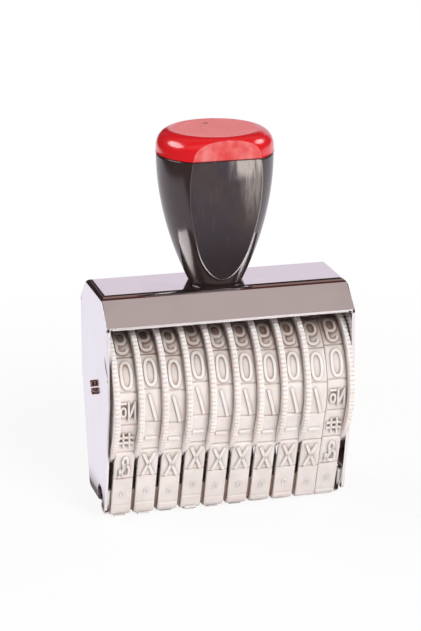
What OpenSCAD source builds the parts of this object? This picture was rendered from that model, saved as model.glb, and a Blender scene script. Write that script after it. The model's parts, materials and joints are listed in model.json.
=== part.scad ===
// Band numbering stamp: rubber figure bands run over knurled thumb wheels and
// round a bridge, inside one bent sheet frame that a palm handle is screwed to.
// Millimetres. +Z is up, the front faces -Y, and the paper is the plane z = 0.

/* [Figure bands] */
// Width of one band
band_w = 7.6; // [6.6:0.2:9]
// Thickness of a band's base
band_t = 1.6; // [1.2:0.1:2]
// Rise of the figures over the base
figure_h = 0.9; // [0.5:0.1:1.1]
// Width of the raised type blocks
figure_w = 5.4; // [4:0.2:5.8]
// Figure cells on one band
cell_count = 15; // [12:1:16]
// Margin between a type block and its cell's edge
cell_margin = 0.75; // [0.5:0.05:1.2]
// Width of the groove between two cells
groove_w = 0.5; // [0.3:0.1:0.8]
// Depth of the groove between two cells
groove_d = 0.3; // [0.2:0.05:0.5]

/* [Thumb wheels] */
// Radius of the knurled rim
rim_r = 28.5; // [27.6:0.1:29.5]
// Width of the knurled rim
rim_w = 2; // [1.6:0.1:2.2]
// Radial depth of the knurled rim
rim_depth = 3.1; // [2:0.1:3.2]
// Teeth round the rim
rim_teeth = 104; // [60:4:140]
// Depth of the knurl
tooth_d = 0.5; // [0.3:0.05:0.7]
// Thickness of the web that carries the rim
web_t = 0.9; // [0.7:0.05:1.1]
// Radius of the drum that the band runs on
drum_r = 22.45; // [21.5:0.05:23]
// Wall of the drum
drum_wall = 1.8; // [1.2:0.1:3]
// Radius of the hub
hub_r = 6; // [5:0.25:9]
// Thickness of the ribs between hub and drum
rib_t = 1.2; // [0.8:0.1:2]

/* [Axle] */
// Diameter of the axle
axle_d = 6; // [5:0.25:8]
// Height of the axle over the frame's feet
axle_h = 45.1; // [44:0.1:46]
// Radius of the two pips that rivet each axle end
pip_r = 1; // [0.7:0.1:1.2]
// Distance between the two pips
pip_pitch = 3; // [2.6:0.1:3.4]
// Angle of the two pips from upright
pip_turn = 31; // [0:1:90]

/* [Frame] */
// Thickness of the sheet
sheet_t = 1.2; // [0.8:0.1:1.6]
// Outer radius of the bends above the side plates
bend_r = 2.4; // [1.8:0.1:3.4]
// Outer radius of the bends above the brows
brow_bend_r = 4.5; // [2:0.1:5]
// Height of the top panel over the feet
top_h = 83.6; // [82.5:0.1:92]
// Depth of the top panel
top_d = 24.8; // [23:0.2:28]
// Depth of the side plates
side_d = 45.8; // [43:0.2:48]
// Depth of the side plates at their feet
foot_d = 24.8; // [23.4:0.2:28]
// Drop of the front and rear brow panels
brow_drop = 9.4; // [7:0.2:11]
// Distance of the feet over the paper
foot_gap = 4.4; // [3.6:0.1:5.4]
// Width of the round-topped notch in each plate's lower edge
notch_w = 9; // [7:0.25:9.5]
// Height of that notch
notch_h = 8.5; // [6:0.25:10]
// Middle of that notch, towards the front
notch_y = 6; // [5.8:0.1:6.4]
// Distance of the curved slit's end from the plate's front edge
slit_edge = 1; // [0.8:0.1:2]
// Width of the curved slit
slit_w = 0.9; // [0.5:0.1:1.2]
// Reach of the tab folded in under the bridge
tab_reach = 2.6; // [2:0.1:2.7]

/* [Bridge] */
// Length of the flat that backs the printing line
bridge_flat = 12.6; // [11:0.2:13.4]
// Radius of the bridge's lower edges
bridge_r = 1.65; // [1:0.05:3]
// Height of the bridge
bridge_h = 9.2; // [7.5:0.1:12]
// Thickness of the guide fins between the bands
fin_t = 1; // [0.6:0.05:1.05]
// Depth of the guide fins' edges below the end fins' edges
fin_sink = 0.75; // [0:0.05:1]

/* [Handle] */
// Radius of the handle where it stands on the frame
handle_foot_r = 10; // [9:0.1:11]
// Largest radius of the handle's body
handle_r = 21.7; // [20:0.1:24]
// Height of the handle's body
handle_h = 47.9; // [42:0.1:56]
// Height of the cap
cap_h = 9.6; // [8.5:0.1:13]
// Overhang of the cap's lip over the body
cap_lip = 0.4; // [0.2:0.1:1]
// Radius of the cap's flat top
cap_flat_r = 15.6; // [12:0.1:17]
// Distance of the grip facets from the axis, at the cap
facet_y = 17.5; // [16:0.1:18.4]
// Lean of the grip facets
facet_lean = 7.4; // [5:0.1:9]
// Wall of the handle's body and cap
handle_wall = 2.4; // [1.6:0.1:3]
// Place of the handle along the frame, from the middle
handle_x = -0.5; // [-3:0.1:3]
// Diameter of the handle's screw
screw_d = 6; // [5:0.5:6]

/* [Clearances] */
// Gap between a band and what it runs over
seat_play = 0.25; // [0.15:0.05:0.35]
// Gap between a wheel's web and the bands beside it
web_play = 0.27; // [0.2:0.01:0.35]
// Gap between the last two bands, which have no rim between them
pair_gap = 0.2; // [0.1:0.05:0.4]
// Side play between neighbouring wheels
wheel_play = 0.1; // [0.05:0.05:0.2]
// Side play between the outer wheels and the plates
end_play = 0.22; // [0.15:0.01:0.4]
// Radial play of the axle in the wheels
bore_play = 0.05; // [0.02:0.01:0.08]
// Play of pieces that are fixed together
fit_play = 0.05; // [0.03:0.01:0.1]

/* [Hidden] */
band_count = 10;
$fn = 64;
eps = 0.01;
over = 1;

// Places across the stack. Bands 1 to 9 have a rim at their left, the last has one at its right.
band_gap = web_t + 2 * web_play;
band_pitch = band_w + band_gap;
bands_w = band_count * band_w + (band_count - 2) * band_gap + pair_gap;
stack_w = bands_w + band_gap + rim_w;
frame_in = stack_w + 2 * end_play;
frame_w = frame_in + 2 * sheet_t;

function band_x(i) = -bands_w / 2 + (i - 1) * band_pitch - (i == band_count ? band_gap - pair_gap : 0);
function rim_x(i) = i < band_count ? band_x(i) - band_gap / 2 : band_x(i) + band_w + band_gap / 2;
// The wheels beside the pair gap reach to its middle, the others to the next rim.
function wheel_len(i) =
    i < band_count - 1 ? band_pitch - wheel_play : rim_w / 2 + band_gap / 2 + band_w + (pair_gap - wheel_play) / 2;

// Heights over the paper
axle_z = foot_gap + axle_h;
top_z = foot_gap + top_h;
brow_z = top_z - brow_drop;
panel_z = top_z - sheet_t;

// A band's path, taken at the middle of its base: along the bridge's flat, round its
// edge, up a straight run that leans outwards, over the wheel, and down again.
half_t = band_t / 2;
over_wheel = drum_r + seat_play + half_t;
round_edge = bridge_r + seat_play + half_t;
edge_y = bridge_flat / 2;
edge_z = figure_h + band_t + seat_play + bridge_r;
centre_dist = norm([edge_y, axle_z - edge_z]);
run_lean = asin((over_wheel - round_edge) / centre_dist) - atan2(edge_y, axle_z - edge_z);
run_len = sqrt(pow(centre_dist, 2) - pow(over_wheel - round_edge, 2));
edge_turn = 90 - run_lean;
edge_len = round_edge * edge_turn * PI / 180;
wheel_turn = 180 + 2 * run_lean;
wheel_arc = over_wheel * wheel_turn * PI / 180;
run_from = edge_y + edge_len;
wheel_from = run_from + run_len;
loop_len = 2 * wheel_from + wheel_arc;
cell = loop_len / cell_count;

// Point of the path at a distance s from the middle of the flat, moved outwards by out.
function loop_half(s, out) =
    s <= edge_y ? [-s, edge_z - round_edge - out]
    : s <= run_from ? let (a = (s - edge_y) / round_edge * 180 / PI)
        [-edge_y - (round_edge + out) * sin(a), edge_z - (round_edge + out) * cos(a)]
    : s <= wheel_from ? let (t = s - run_from, d = round_edge + out)
        [-edge_y - d * cos(run_lean) - t * sin(run_lean), edge_z - d * sin(run_lean) + t * cos(run_lean)]
    : let (a = run_lean - (s - wheel_from) / over_wheel * 180 / PI, d = over_wheel + out)
        [-d * cos(a), axle_z - d * sin(a)];
function loop_point(s, out) =
    let (w = s - floor(s / loop_len) * loop_len, p = loop_half(min(w, loop_len - w), out))
    w > loop_len / 2 ? [-p[0], p[1]] : p;

// Distances along the path at which its outline needs a point.
edge_steps = 5;
wheel_steps = 40;
half_stations = concat(
    [for (i = [0:edge_steps]) edge_y + edge_len * i / edge_steps],
    [for (i = [0:wheel_steps / 2 - 1]) wheel_from + wheel_arc * i / wheel_steps]);
stations = concat(half_stations, [wheel_from + wheel_arc / 2],
    [for (i = [len(half_stations) - 1:-1:0]) loop_len - half_stations[i]]);
two_turns = concat(stations, [for (s = stations) s + loop_len]);

// How far each band stands turned from the place where a cell begins at the flat's middle.
band_shift = [-0.4, 0.2, -1.1, 1.2, -0.6, -1, -2, -2, -2.9, -2.2];

// Outline with the height hi between the cells' margins and lo outside them.
function cell_outline(shift, margin, hi, lo) = [
    for (k = [0:cell_count - 1])
        let (a = shift + k * cell + margin, b = shift + (k + 1) * cell - margin, base = shift < 0 ? -loop_len : 0)
            each concat(
                [loop_point(a, lo), loop_point(a, hi)],
                [for (s = two_turns) if (s + base > a + eps && s + base < b - eps) loop_point(s + base, hi)],
                [loop_point(b, hi), loop_point(b, lo)])];

// Corner of a polygon rounded with radius r.
function unit(v) = v / norm(v);
function rounded(a, b, c, r, steps = 6) =
    let (u = unit(a - b), v = unit(c - b), half = acos(u * v) / 2, t = r / tan(half),
        m = b + unit(u + v) * r / sin(half), p = b + u * t - m, q = b + v * t - m,
        from = atan2(p[1], p[0]), turn = atan2(p[0] * q[1] - p[1] * q[0], p * q))
    [for (i = [0:steps]) m + r * [cos(from + turn * i / steps), sin(from + turn * i / steps)]];
// Outline of points [x, y, r], where r is the radius of each corner.
function outline(pts) = let (n = len(pts)) [
    for (i = [0:n - 1])
        let (a = pts[(i + n - 1) % n], b = pts[i], c = pts[(i + 1) % n])
            each b[2] > 0 ? rounded([a[0], a[1]], [b[0], b[1]], [c[0], c[1]], b[2]) : [[b[0], b[1]]]];

// Sweeps a profile drawn in (y, z) along X, from x with the width w.
module along_x(x, w) translate([x, 0, 0]) rotate([90, 0, 90]) linear_extrude(w) children();

// ---- Frame ----
corner_r = 1;
brow_run = (side_d - top_d) / 2;
brow_dir = unit([brow_run, brow_drop]);
brow_in = [brow_dir[1], -brow_dir[0]] * sheet_t;
tab_z = foot_gap + 0.6;
tab_r = sheet_t + 0.4;
notch_front = -notch_y - notch_w / 2;
notch_rear = -notch_y + notch_w / 2;
slit_r = side_d / 2 + 1.5;
slit_from = acos((side_d / 2 - slit_edge) / slit_r);
slit_to = slit_from + 17;
slit_dot = slit_from - 3.5;
slit_dot_r = 0.3;
relief_r = min(0.7, brow_in[0] - 0.1);

// Depth of the side plate at a height z over the paper, below the axle.
function plate_half(z) = foot_d / 2 + (side_d - foot_d) / 2 * (z - foot_gap) / axle_h;

module side_outline() polygon(outline([
    [-foot_d / 2, foot_gap, corner_r], [notch_front, foot_gap, corner_r / 2],
    [notch_front, foot_gap + notch_h, notch_w / 2 - 0.1], [notch_rear, foot_gap + notch_h, notch_w / 2 - 0.1],
    [notch_rear, tab_z + tab_r, 0], [plate_half(tab_z + tab_r) - corner_r / 2, tab_z + tab_r, 0],
    [plate_half(tab_z + tab_r), tab_z + tab_r + corner_r, 0],
    [side_d / 2, axle_z, 8], [side_d / 2, brow_z, 0], [top_d / 2, top_z, brow_bend_r],
    [-top_d / 2, top_z, brow_bend_r], [-side_d / 2, brow_z, 0], [-side_d / 2, axle_z, 8]]));

// Everything that the sheet encloses, open below the brows.
module inside_outline() {
    reach = 2 * side_d;
    lip_z = brow_z + 3 * brow_dir[0];
    lip_y = side_d / 2 + 3 * brow_dir[1];
    function side(s) = [
        [s * lip_y, lip_z], [s * reach, lip_z], [s * reach, -over]];
    in_y = side_d / 2 - brow_in[0];
    in_z = brow_z + brow_in[1];
    shelf_y = in_y - (panel_z - in_z) * brow_run / brow_drop;
    inner_r = brow_bend_r - sheet_t;
    roof = outline([[-in_y, in_z, 0], [-shelf_y, panel_z, inner_r], [shelf_y, panel_z, inner_r], [in_y, in_z, 0]]);
    rear = side(1);
    front = side(-1);
    polygon(concat(roof, rear, [front[2], front[1], front[0]]));
}

module bent_ends(w, r, top) translate([0, side_d, 0]) rotate([90, 0, 0]) linear_extrude(2 * side_d)
    polygon(outline([[-w / 2, -over, 0], [w / 2, -over, 0], [w / 2, top, r], [-w / 2, top, r]]));

// Tab folded in from a side plate, under the end of the bridge.
module fold_tab() {
    tab_front = notch_rear;
    tab_rear = plate_half(tab_z) - corner_r;
    x = frame_w / 2;
    translate([0, tab_rear, 0]) rotate([90, 0, 0]) linear_extrude(tab_rear - tab_front) difference() {
        polygon(concat(
            rounded([x, tab_z + 9], [x, tab_z], [0, tab_z], tab_r),
            [[x - tab_reach, tab_z], [x - tab_reach, tab_z + sheet_t]],
            rounded([0, tab_z + sheet_t], [x - sheet_t, tab_z + sheet_t], [x - sheet_t, tab_z + 9], tab_r - sheet_t),
            [[x - sheet_t, tab_z + tab_r + eps], [x, tab_z + tab_r + eps]]));
    }
}

module slit(side) {
    far = 2 * slit_r;
    along_x(side > 0 ? frame_in / 2 - over : -frame_w / 2 - over, sheet_t + 2 * over) {
        translate([0, axle_z]) polygon(concat(
            [for (a = [slit_from:slit_to]) (slit_r + slit_w / 2) * [-cos(a), sin(a)]],
            [for (a = [slit_to:-1:slit_from]) (slit_r - slit_w / 2) * [-cos(a), sin(a)]]));
        translate([-slit_r * cos(slit_dot), axle_z + slit_r * sin(slit_dot)]) circle(slit_dot_r);
        for (s = [-1, 1]) translate([s * (side_d / 2 - brow_in[0]), brow_z + brow_in[1]]) circle(relief_r);
    }
}

module at_pips(x, w) along_x(x, w) for (s = [-1, 1])
    translate([s * pip_pitch / 2 * sin(pip_turn), axle_z + s * pip_pitch / 2 * cos(pip_turn)]) children();

module frame() color("gainsboro") {
    difference() {
        intersection() {
            along_x(-frame_w / 2, frame_w) side_outline();
            bent_ends(frame_w, bend_r, top_z);
        }
        intersection() {
            along_x(-frame_w / 2, frame_w) inside_outline();
            bent_ends(frame_in, bend_r - sheet_t, panel_z);
        }
        for (side = [-1, 1]) slit(side);
        at_pips(-frame_w / 2 - over, frame_w + 2 * over) circle(pip_r + fit_play);
        translate([handle_x, 0, panel_z - over]) cylinder(h = sheet_t + 2 * over, d = screw_d + 6 * fit_play);
    }
    for (side = [-1, 1]) scale([side, 1, 1]) fold_tab();
}

// ---- Bridge ----
bridge_z = edge_z - bridge_r;
bridge_top = bridge_z + bridge_h;
bridge_end = bands_w / 2 + seat_play;
fin_half = half_t - seat_play;
tab_top = tab_z + sheet_t + fit_play;
pocket_d = 4;
pocket_w = 4.4;
pocket_wall = 1.2;

// Filled outline of the band path, moved by out.
module loop_fill(out) polygon([for (s = stations) loop_point(s, out)]);

module under_bridge_top() translate([-side_d, 0]) square([2 * side_d, bridge_top]);

module bridge() color("ivory") difference() {
    union() {
        along_x(-bridge_end, 2 * bridge_end) core_outline();
        for (i = [2:band_count - 1]) along_x(rim_x(i) - fin_t / 2, fin_t) fin_outline(fin_half - fin_sink);
        for (side = [-1, 1]) scale([side, 1, 1]) bridge_tip();
    }
    for (side = [-1, 1]) scale([side, 1, 1]) tip_pocket();
}

module fin_outline(out) intersection() {
    loop_fill(out);
    under_bridge_top();
}

module core_outline() fin_outline(-half_t - seat_play);

// End of the bridge between the plate and the last band: an end fin, the core behind it,
// and a lug that lies on the plate's folded tab, clear of the inside of its bend.
module bridge_tip() {
    tip = frame_in / 2 - fit_play;
    lug = frame_in / 2 - (tab_r - sheet_t) - fit_play;
    along_x(bridge_end - over, tip - bridge_end + over) clear_of_tab() core_outline();
    along_x(tip - fin_t, fin_t) clear_of_tab() fin_outline(fin_half);
    along_x(bridge_end - over, lug - bridge_end + over) translate([notch_rear + over, tab_top])
        square([edge_y + over, bridge_top - tab_top]);
}

// Leaves out the room of the folded tab and its bend, and what is below it.
module clear_of_tab() difference() {
    children();
    translate([notch_rear - eps, -over]) square([side_d, tab_z + tab_r + fit_play + over]);
}

// Pocket in the bridge's end, behind the plate's notch.
module tip_pocket() along_x(bridge_end - pocket_d, frame_in / 2 - bridge_end + pocket_d)
    translate([notch_rear - pocket_w / 2, bridge_z + pocket_wall])
        square([pocket_w, bridge_h - 2 * pocket_wall]);

// ---- Axle ----
pip_head_r = pip_r + 0.35;
pip_head_t = 1.5;
pip_head_points = 6;

// Head of a pip, split and flared into points.
module pip_star() polygon([for (k = [0:2 * pip_head_points - 1])
    (k % 2 == 0 ? pip_head_r : pip_r * 0.75) * [sin(k * 180 / pip_head_points), cos(k * 180 / pip_head_points)]]);

module axle() color("silver") {
    half = frame_in / 2 - fit_play;
    along_x(-half, 2 * half) translate([0, axle_z]) circle(d = axle_d);
    at_pips(-frame_w / 2 - eps, frame_w + 2 * eps) circle(pip_r);
    at_pips(-frame_w / 2 - pip_head_t, pip_head_t) pip_star();
    at_pips(frame_w / 2, pip_head_t) pip_star();
}

// ---- Thumb wheels ----
rib_count = 6;

module knurl() polygon([
    for (k = [0:rim_teeth - 1]) let (step = 360 / rim_teeth)
        each [for (p = [[-0.3, 0], [0.3, 0], [0.5, tooth_d]]) let (a = (k + p[0]) * step)
            (rim_r - p[1]) * [cos(a), sin(a)]]]);

// Drum, hub, web and rim, with the rim's outer face at z = 0 and the drum towards +Z.
module wheel(length) {
    web_z = (rim_w - web_t) / 2;
    rim_in = rim_r - rim_depth;
    bore_r = axle_d / 2 + bore_play;
    rotate_extrude(convexity = 6) polygon([
        [bore_r, 0], [hub_r, 0], [hub_r, web_z], [rim_in + eps, web_z], [rim_in + eps, web_z + web_t],
        [drum_r, web_z + web_t], [drum_r, length], [drum_r - drum_wall, length],
        [drum_r - drum_wall, web_z + web_t], [hub_r, web_z + web_t], [hub_r, length], [bore_r, length]]);
    linear_extrude(rim_w) difference() {
        knurl();
        circle(rim_in);
    }
    for (k = [0:rib_count - 1]) rotate([0, 0, k * 360 / rib_count])
        translate([hub_r - over / 2, -rib_t / 2, web_z + web_t - eps])
            cube([drum_r - drum_wall - hub_r + over, rib_t, (length - web_z - web_t) / 2]);
}

module wheel_at(i) color("antiquewhite")
    translate([rim_x(i) + (i < band_count ? -rim_w / 2 : rim_w / 2), 0, axle_z])
        rotate([0, i < band_count ? 90 : -90, 0]) wheel(wheel_len(i));

// ---- Bands ----
rim_play = 0.12;

// Room that a rim presses into the edges of the bands beside it.
module rim_room(x) along_x(x - rim_w / 2 - rim_play, rim_w + 2 * rim_play) translate([0, axle_z]) difference() {
    circle(rim_r + rim_play);
    circle(rim_r - rim_depth - rim_play);
}

module band_at(i) color("linen") {
    shift = band_shift[i - 1];
    difference() {
        along_x(band_x(i), band_w) difference() {
            polygon(cell_outline(shift, groove_w / 2, half_t, half_t - groove_d));
            loop_fill(-half_t);
        }
        rim_room(rim_x(i));
        if (i < band_count - 1) rim_room(rim_x(i + 1));
    }
    along_x(band_x(i) + (band_w - figure_w) / 2, figure_w) difference() {
        polygon(cell_outline(shift, cell_margin, half_t + figure_h, 0));
        loop_fill(-half_t / 2);
    }
}

// ---- Handle ----
// The body's radius grows with a parabola, and the cap rounds over in a quarter ellipse.
profile_steps = 16;
cap_wall_h = 3.2;
function body_r(z) = handle_r - (handle_r - handle_foot_r) * pow(1 - z / handle_h, 2);
function cap_r(z) = let (t = max(0, (z - cap_wall_h) / (cap_h - cap_wall_h)))
    cap_flat_r + (handle_r - cap_flat_r) * sqrt(max(0, 1 - t * t));
floor_t = 5;
boss_r = 7.5;
boss_h = 15;
nut_h = 5;
nut_af = 10;
skirt_h = 4;
lip_h = 0.8;

module body_form(inset) rotate_extrude() polygon(concat(
    [[0, 0]],
    [for (i = [0:profile_steps]) let (z = handle_h * i / profile_steps) [body_r(z) - inset, z]],
    [[0, handle_h]]));

module cap_form(inset) rotate_extrude() polygon(concat(
    [[0, 0], [handle_r - inset, 0]],
    [for (i = [0:profile_steps]) let (a = 90 * i / profile_steps, z = cap_wall_h + (cap_h - cap_wall_h) * sin(a))
        [cap_r(z) - inset, z - inset]],
    [[0, cap_h - inset]]));

// Cuts the two grip facets, moved inwards by inset. The origin is on the body's rim.
module grip_facets(inset) for (side = [-1, 1]) scale([1, side, 1])
    translate([0, facet_y - inset, 0]) rotate([-facet_lean, 0, 0])
        translate([-2 * handle_r, 0, -2 * handle_h]) cube([4 * handle_r, 2 * handle_r, 4 * handle_h]);

module on_frame(z = 0) translate([handle_x, 0, top_z + z]) children();

module handle_body() color("#2f2829") on_frame() difference() {
    union() {
        difference() {
            body_form(0);
            translate([0, 0, handle_h]) grip_facets(0);
            difference() {
                translate([0, 0, eps]) body_form(handle_wall);
                translate([0, 0, handle_h]) grip_facets(handle_wall);
                cylinder(h = floor_t, r = 2 * handle_r);
            }
        }
        translate([0, 0, floor_t - over]) cylinder(h = boss_h - floor_t + over, r = boss_r);
    }
    translate([0, 0, -over]) cylinder(h = boss_h + 2 * over, d = screw_d + 6 * fit_play);
    translate([0, 0, boss_h - nut_h]) cylinder(h = nut_h + over, r = nut_af / sqrt(3) + fit_play, $fn = 6);
}

module handle_cap() color("#dc141e") on_frame(handle_h) difference() {
    union() {
        difference() {
            union() {
                cap_form(0);
                cylinder(h = lip_h, r = handle_r + cap_lip);
            }
            grip_facets(0);
        }
        translate([0, 0, -skirt_h]) difference() {
            cylinder(h = skirt_h + over, r = handle_r - handle_wall - 2 * fit_play);
            translate([0, 0, skirt_h]) grip_facets(handle_wall + 2 * fit_play);
        }
    }
    translate([0, 0, -skirt_h - over]) difference() {
        union() {
            cylinder(h = skirt_h + 2 * over, r = handle_r - 2 * handle_wall);
            translate([0, 0, skirt_h + over]) cap_form(handle_wall);
        }
        translate([0, 0, skirt_h + over]) grip_facets(2 * handle_wall);
    }
}

washer_t = 1;
washer_r = 6.25;
head_r = 5;
head_h = 3.3;
thread_play = 0.04;

module handle_washer() color("silver") translate([handle_x, 0, panel_z - washer_t - fit_play])
    difference() {
        cylinder(h = washer_t, r = washer_r);
        translate([0, 0, -over]) cylinder(h = washer_t + 2 * over, d = screw_d + 6 * fit_play);
    }

module handle_screw() color("silver") {
    head_z = panel_z - washer_t - 2 * fit_play;
    slot_w = 1.2;
    slot_d = 1.4;
    translate([handle_x, 0, head_z - head_h]) difference() {
        union() {
            cylinder(h = head_h, r = head_r);
            cylinder(h = head_h + top_z - head_z + boss_h - over, d = screw_d);
        }
        translate([-head_r - over, -slot_w / 2, -over]) cube([2 * head_r + 2 * over, slot_w, slot_d + over]);
    }
}

module handle_nut() color("silver") on_frame(boss_h - nut_h + fit_play) difference() {
    cylinder(h = nut_h - 2 * fit_play, r = nut_af / sqrt(3), $fn = 6);
    translate([0, 0, -over]) cylinder(h = nut_h + 2 * over, d = screw_d + 2 * thread_play);
}

frame();
bridge();
axle();
handle_body();
handle_cap();
handle_screw();
handle_washer();
handle_nut();
for (i = [1:band_count]) wheel_at(i);
for (i = [1:band_count]) band_at(i);
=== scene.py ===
import json
from math import asin, atan2, cos, exp, hypot, pi, radians, sin, sqrt, tan

import bmesh
import bpy
import numpy as np
from mathutils import Matrix, Vector


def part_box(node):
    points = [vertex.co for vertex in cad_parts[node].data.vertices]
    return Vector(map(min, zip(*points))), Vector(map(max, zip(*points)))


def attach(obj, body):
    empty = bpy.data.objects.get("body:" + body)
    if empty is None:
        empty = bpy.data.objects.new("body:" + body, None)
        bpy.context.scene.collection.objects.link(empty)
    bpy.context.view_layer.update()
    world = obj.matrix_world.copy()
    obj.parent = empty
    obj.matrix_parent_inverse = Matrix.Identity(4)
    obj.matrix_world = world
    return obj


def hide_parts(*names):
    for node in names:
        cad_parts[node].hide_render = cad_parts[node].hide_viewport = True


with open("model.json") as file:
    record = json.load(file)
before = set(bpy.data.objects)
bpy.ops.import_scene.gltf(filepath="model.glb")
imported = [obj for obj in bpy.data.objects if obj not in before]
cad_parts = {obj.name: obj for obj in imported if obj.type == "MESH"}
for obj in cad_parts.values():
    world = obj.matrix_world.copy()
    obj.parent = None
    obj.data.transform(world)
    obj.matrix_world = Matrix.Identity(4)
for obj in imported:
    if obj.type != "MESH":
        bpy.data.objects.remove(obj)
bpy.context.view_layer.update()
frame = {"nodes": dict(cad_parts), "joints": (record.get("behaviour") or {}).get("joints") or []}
mm = 0.001
print("stamp: frame loaded")


pieceLook = {
    "join": 0.002,  # points nearer than this, in millimetres, become one
    "sliver": 0.001, "solidSliver": 0.02,  # shorter edges go from a new mesh, or from a copy of a solid
    "smooth": 32, "solidSmooth": 22, "turnedSmooth": 40,  # faces within this angle look like one surface
    "roundFrom": 32,  # angle from which a copy's edges are rounded
}


class Shape:
    # Collects grids of points, in millimetres, and makes one mesh of them.
    def __init__(self):
        self.points, self.quads, self.fans, self.marks = [], [], [], []
        self.count = 0

    # A grid of points by row and column. A wrapped direction joins its last line to its first,
    # and a capped end closes its ring with a fan to the ring's middle.
    def grid(self, points, wrapRows=False, wrapCols=False, capStart=False, capEnd=False, mark=0.0):
        rows, cols = points.shape[:2]
        index = self.count + np.arange(rows * cols).reshape(rows, cols)
        nextRow = np.roll(index, -1, 0) if wrapRows else index[1:]
        here = index if wrapRows else index[:-1]
        if wrapCols:
            a, b = here, np.roll(here, -1, 1)
            c, d = np.roll(nextRow, -1, 1), nextRow
        else:
            a, b = here[:, :-1], here[:, 1:]
            c, d = nextRow[:, 1:], nextRow[:, :-1]
        self.quads.append(np.stack([a, b, c, d], -1).reshape(-1, 4))
        self.points.append(points.reshape(-1, 3))
        self.marks.append(np.broadcast_to(mark, (rows, cols)).reshape(-1))
        self.count += rows * cols
        for wanted, ring, line in ((capStart, points[0], index[0]), (capEnd, points[-1], index[-1])):
            if wanted:
                self.points.append(ring.mean(0)[None])
                self.marks.append(self.marks[-1][-1:])
                self.fans.append(np.stack([line, np.roll(line, -1), np.full(cols, self.count)], -1))
                self.count += 1

    # All grids as one mesh. The marks become an attribute that the finishes read.
    def toMesh(self, name):
        points = np.concatenate(self.points) * mm
        quads = np.concatenate(self.quads)
        fans = np.concatenate(self.fans) if self.fans else np.zeros((0, 3), int)
        corners = np.concatenate([quads.ravel(), fans.ravel()])
        sizes = np.concatenate([np.full(len(quads), 4), np.full(len(fans), 3)])
        mesh = bpy.data.meshes.new(name)
        mesh.vertices.add(len(points))
        mesh.vertices.foreach_set("co", points.astype(np.float32).ravel())
        mesh.loops.add(len(corners))
        mesh.loops.foreach_set("vertex_index", corners.astype(np.int32))
        mesh.polygons.add(len(sizes))
        mesh.polygons.foreach_set("loop_start", (np.cumsum(sizes) - sizes).astype(np.int32))
        mark = mesh.attributes.new("mark", "FLOAT", "POINT")
        mark.data.foreach_set("value", np.concatenate(self.marks).astype(np.float32))
        mesh.update(calc_edges=True)
        mesh.validate()
        return mesh

    def build(self, name, finish, body, smoothAngle=pieceLook["smooth"]):
        piece = addPiece(self.toMesh(name), name, finish, pieceLook["sliver"], smoothAngle, turnOut=True)
        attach(piece, body)
        return piece


def newObject(name, data):
    made = bpy.data.objects.new(name, data)
    bpy.context.scene.collection.objects.link(made)
    return made


# Joins doubled points, drops slivers and puts the mesh in the scene, shaded by angle.
def addPiece(mesh, name, finish, sliver, smoothAngle, turnOut=False):
    work = bmesh.new()
    work.from_mesh(mesh)
    bmesh.ops.remove_doubles(work, verts=work.verts, dist=pieceLook["join"] * mm)
    bmesh.ops.dissolve_degenerate(work, edges=work.edges, dist=sliver * mm)
    if turnOut:
        bmesh.ops.recalc_face_normals(work, faces=work.faces)
    work.to_mesh(mesh)
    work.free()
    mesh.materials.clear()
    mesh.materials.append(finish)
    piece = newObject(name, mesh)
    bpy.ops.object.select_all(action="DESELECT")
    piece.select_set(True)
    bpy.context.view_layer.objects.active = piece
    bpy.ops.object.shade_smooth_by_angle(angle=radians(smoothAngle))
    return piece


# A merged copy of a CAD node with rounded edges, where the solid's shape is already right.
def dressedCopy(node, name, finish, edge):
    mesh = frame["nodes"][node].data.copy()
    piece = addPiece(mesh, name, finish, pieceLook["solidSliver"], pieceLook["solidSmooth"])
    bevel = piece.modifiers.new("edges", "BEVEL")
    bevel.width = edge * mm
    bevel.segments = 2
    bevel.limit_method = "ANGLE"
    bevel.angle_limit = radians(pieceLook["roundFrom"])
    bevel.use_clamp_overlap = False
    weigh = piece.modifiers.new("flats", "WEIGHTED_NORMAL")
    weigh.keep_sharp = True
    weigh.weight = 100
    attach(piece, "root")
    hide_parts(node)
    return piece


class Wire:
    # One output of a node. Its operators add Math nodes, also with the number on the left.
    def __init__(self, finish, socket):
        self.finish, self.socket = finish, socket

    # Another output of the same node.
    def other(self, out):
        return Wire(self.finish, self.socket.node.outputs[out])

    def maths(self, operation, *others):
        return self.finish.node("Math", {"operation": operation}, dict(enumerate((self, *others))))

    def __add__(self, other):
        return self.maths("ADD", other)

    def __mul__(self, other):
        return self.maths("MULTIPLY", other)

    def __sub__(self, other):
        return self.maths("SUBTRACT", other)

    def __rsub__(self, other):
        return self.finish.node("Math", {"operation": "SUBTRACT"}, {0: other, 1: self})

    def __truediv__(self, other):
        return self.maths("DIVIDE", other)

    def __pow__(self, other):
        return self.maths("POWER", other)

    __radd__, __rmul__ = __add__, __mul__

    def atMost(self, limit):
        return self.maths("MINIMUM", limit)

    def atLeast(self, limit):
        return self.maths("MAXIMUM", limit)

    def absolute(self):
        return self.maths("ABSOLUTE")

    # 0 below low, 1 above high, with a smooth step between.
    def step(self, low, high):
        ends = {"Value": self, "From Min": low, "From Max": high}
        return self.finish.node("MapRange", {"interpolation_type": "SMOOTHSTEP"}, ends)

    def above(self, edge, soft):
        return self.step(edge - soft, edge + soft)

    def below(self, edge, soft):
        return 1 - self.above(edge, soft)

    def between(self, low, high, soft):
        return self.above(low, soft) * self.below(high, soft)


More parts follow.
